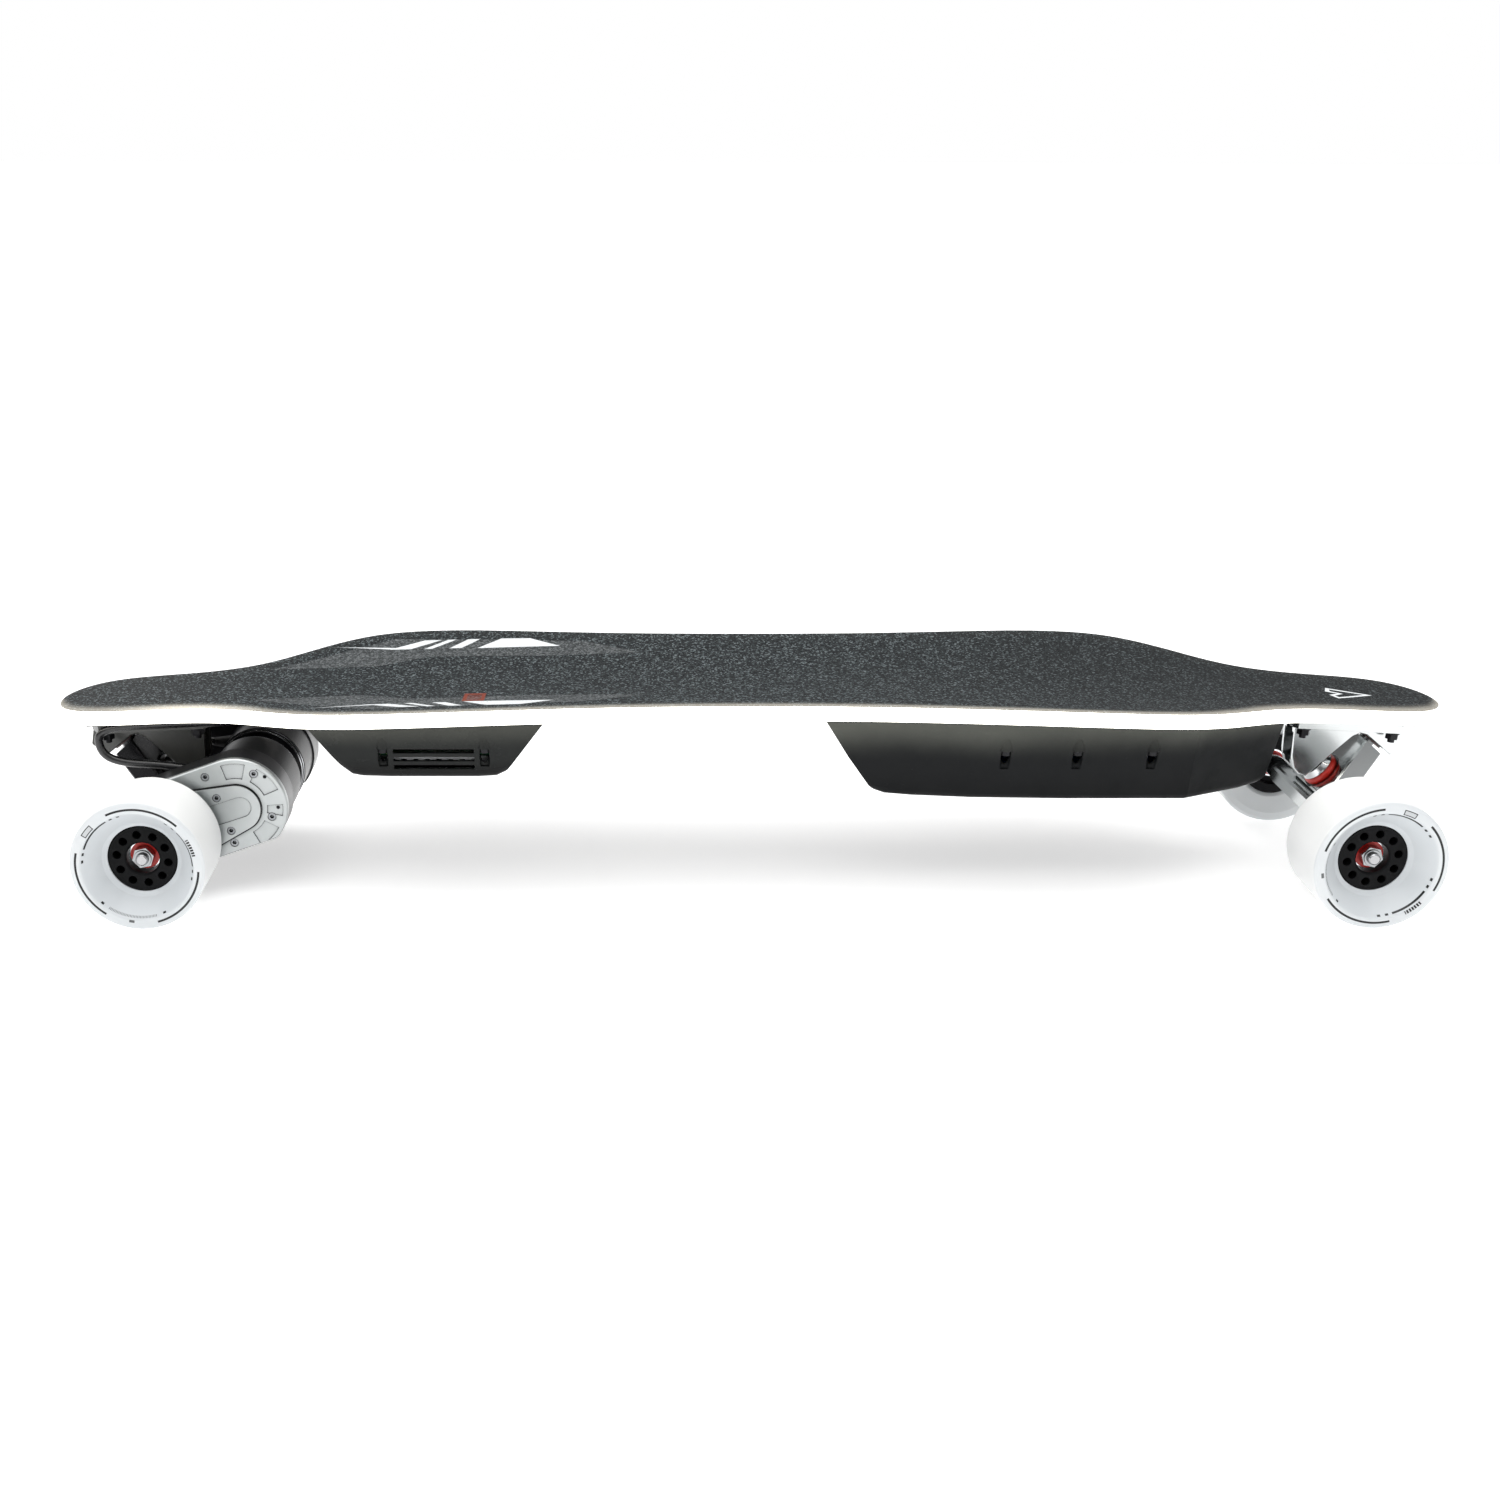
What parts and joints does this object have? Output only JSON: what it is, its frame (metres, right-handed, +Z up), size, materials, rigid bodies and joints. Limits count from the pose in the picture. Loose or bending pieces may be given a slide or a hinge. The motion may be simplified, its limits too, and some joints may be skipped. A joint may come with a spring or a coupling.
{
  "type": "electric skateboard",
  "caption": "Electric skateboard: waisted deck with a lit edge, battery and controller boxes below, steering trucks, geared rear hub drive and large cast wheels.",
  "frame": {"origin": "on the ground under the middle of the board", "axes": "+X to the nose, +Y to the left side, +Z up"},
  "size_m": [0.982, 0.2576, 0.1459],
  "materials": {
    "deck_lacquer": "satin black lacquer over laminated wood",
    "grip": "coarse sparkling grip surface",
    "light_guide": "milky translucent light guide, lit",
    "battery_shell": "satin moulded near-black",
    "controller_shell": "gloss moulded black",
    "gasket": "soft foam rubber",
    "screw_black": "black oxide",
    "cell_wrap": "satin, metal cans in shrink wrap",
    "circuit": "green solder mask",
    "satin_alloy": "satin",
    "polished_alloy": "polished",
    "black_alloy": "black anodised",
    "motor_black": "satin black",
    "steel": "turned",
    "chrome": "polished",
    "copper": "varnished copper windings",
    "black_rubber": "smooth",
    "red_urethane": "cast urethane",
    "white_urethane": "cast urethane with a printed face",
    "core_black": "moulded",
    "shield_red": "red bearing shields in steel rings",
    "gear_steel": "cut teeth",
    "button": "moulded"
  },
  "bodies": {
    "board": {"deck_core": "deck_lacquer", "grip_tape": "grip", "led_light_guide": "light_guide", "battery_enclosure": "battery_shell", "esc_enclosure": "controller_shell", "enclosure_gaskets": "gasket", "enclosure_screws": "screw_black", "battery_cells": "cell_wrap", "circuit_boards": "circuit", "controller_heat_sink": "satin_alloy", "power_cable": "black_rubber", "power_button_bezel": "chrome", "charge_socket": "chrome", "riser_pads": "black_rubber", "front_baseplate": "polished_alloy", "rear_baseplate": "black_alloy", "deck_bolts": "screw_black", "deck_nuts": "screw_black", "kingpins": "chrome", "kingpin_nuts": "chrome", "cup_washers": "chrome", "kingpin_bushings": "red_urethane", "pivot_bushings": "red_urethane", "motor_leads": "black_rubber", "lead_grommets": "black_rubber"},
    "power_button": {"power_button": "button"},
    "front_truck": {"front_hanger": "polished_alloy", "front_axle": "steel", "front_axle_nuts": "chrome", "front_axle_rings": "steel"},
    "rear_truck": {"rear_hanger": "black_alloy", "rear_axle": "steel", "rear_axle_nuts": "chrome", "rear_axle_rings": "steel", "gearbox_housings": "black_alloy", "gearbox_covers": "satin_alloy", "gearbox_screws": "chrome", "motor_cans": "motor_black", "motor_stators": "copper", "lead_glands": "black_rubber"},
    "front_left_wheel": {"front_left_tyre": "white_urethane", "front_left_core": "core_black", "front_left_bearings": "shield_red"},
    "front_right_wheel": {"front_right_tyre": "white_urethane", "front_right_core": "core_black", "front_right_bearings": "shield_red"},
    "rear_left_wheel": {"rear_left_tyre": "white_urethane", "rear_left_core": "core_black", "rear_left_bearings": "shield_red", "left_driven_gear": "gear_steel"},
    "rear_right_wheel": {"rear_right_tyre": "white_urethane", "rear_right_core": "core_black", "rear_right_bearings": "shield_red", "right_driven_gear": "gear_steel"},
    "left_idler": {"left_idler_gear": "gear_steel"},
    "left_rotor": {"left_pinion": "gear_steel", "left_motor_rotor": "gear_steel"},
    "right_idler": {"right_idler_gear": "gear_steel"},
    "right_rotor": {"right_pinion": "gear_steel", "right_motor_rotor": "gear_steel"}
  },
  "joints": [
    {"name": "front_steer", "type": "hinge", "parent": "board", "child": "front_truck", "pos_m": [0.42192, 0, 0.06364], "axis": [0.6587, 0, 0.7524], "range_deg": [-15, 15], "stiffness_Nm_per_rad": 40, "deforming": ["kingpin_bushings"]},
    {"name": "rear_steer", "type": "hinge", "parent": "board", "child": "rear_truck", "pos_m": [-0.42192, 0, 0.06364], "axis": [-0.6587, 0, 0.7524], "range_deg": [-15, 15], "stiffness_Nm_per_rad": 40, "deforming": ["motor_leads", "kingpin_bushings"]},
    {"name": "front_left_wheel_spin", "type": "hinge", "parent": "front_truck", "child": "front_left_wheel", "pos_m": [0.41225, 0.1016, 0.045], "axis": [0, 1, 0], "continuous": true},
    {"name": "front_right_wheel_spin", "type": "hinge", "parent": "front_truck", "child": "front_right_wheel", "pos_m": [0.41225, -0.1016, 0.045], "axis": [0, 1, 0], "continuous": true},
    {"name": "rear_left_wheel_spin", "type": "hinge", "parent": "rear_truck", "child": "rear_left_wheel", "pos_m": [-0.41225, 0.1016, 0.045], "axis": [0, 1, 0], "continuous": true},
    {"name": "rear_right_wheel_spin", "type": "hinge", "parent": "rear_truck", "child": "rear_right_wheel", "pos_m": [-0.41225, -0.1016, 0.045], "axis": [0, 1, 0], "continuous": true},
    {"name": "left_idler_spin", "type": "hinge", "parent": "rear_truck", "child": "left_idler", "pos_m": [-0.37553, 0.0555, 0.05815], "axis": [0, 1, 0], "continuous": true},
    {"name": "left_rotor_spin", "type": "hinge", "parent": "rear_truck", "child": "left_rotor", "pos_m": [-0.35435, 0.03, 0.06573], "axis": [0, 1, 0], "continuous": true},
    {"name": "right_idler_spin", "type": "hinge", "parent": "rear_truck", "child": "right_idler", "pos_m": [-0.37553, -0.0555, 0.05815], "axis": [0, 1, 0], "continuous": true},
    {"name": "right_rotor_spin", "type": "hinge", "parent": "rear_truck", "child": "right_rotor", "pos_m": [-0.35435, -0.03, 0.06573], "axis": [0, 1, 0], "continuous": true},
    {"name": "power_button_press", "type": "slide", "parent": "board", "child": "power_button", "axis": [0, -0.9635, 0.2678], "range_m": [0, 0.0015], "stiffness_N_per_m": 400, "springref_m": -0.001}
  ],
  "couplings": [
    {"joint": "left_idler_spin", "follows": "rear_left_wheel_spin", "ratio": -1.8889},
    {"joint": "left_rotor_spin", "follows": "rear_left_wheel_spin", "ratio": 2.8333},
    {"joint": "right_idler_spin", "follows": "rear_right_wheel_spin", "ratio": -1.8889},
    {"joint": "right_rotor_spin", "follows": "rear_right_wheel_spin", "ratio": 2.8333}
  ]
}
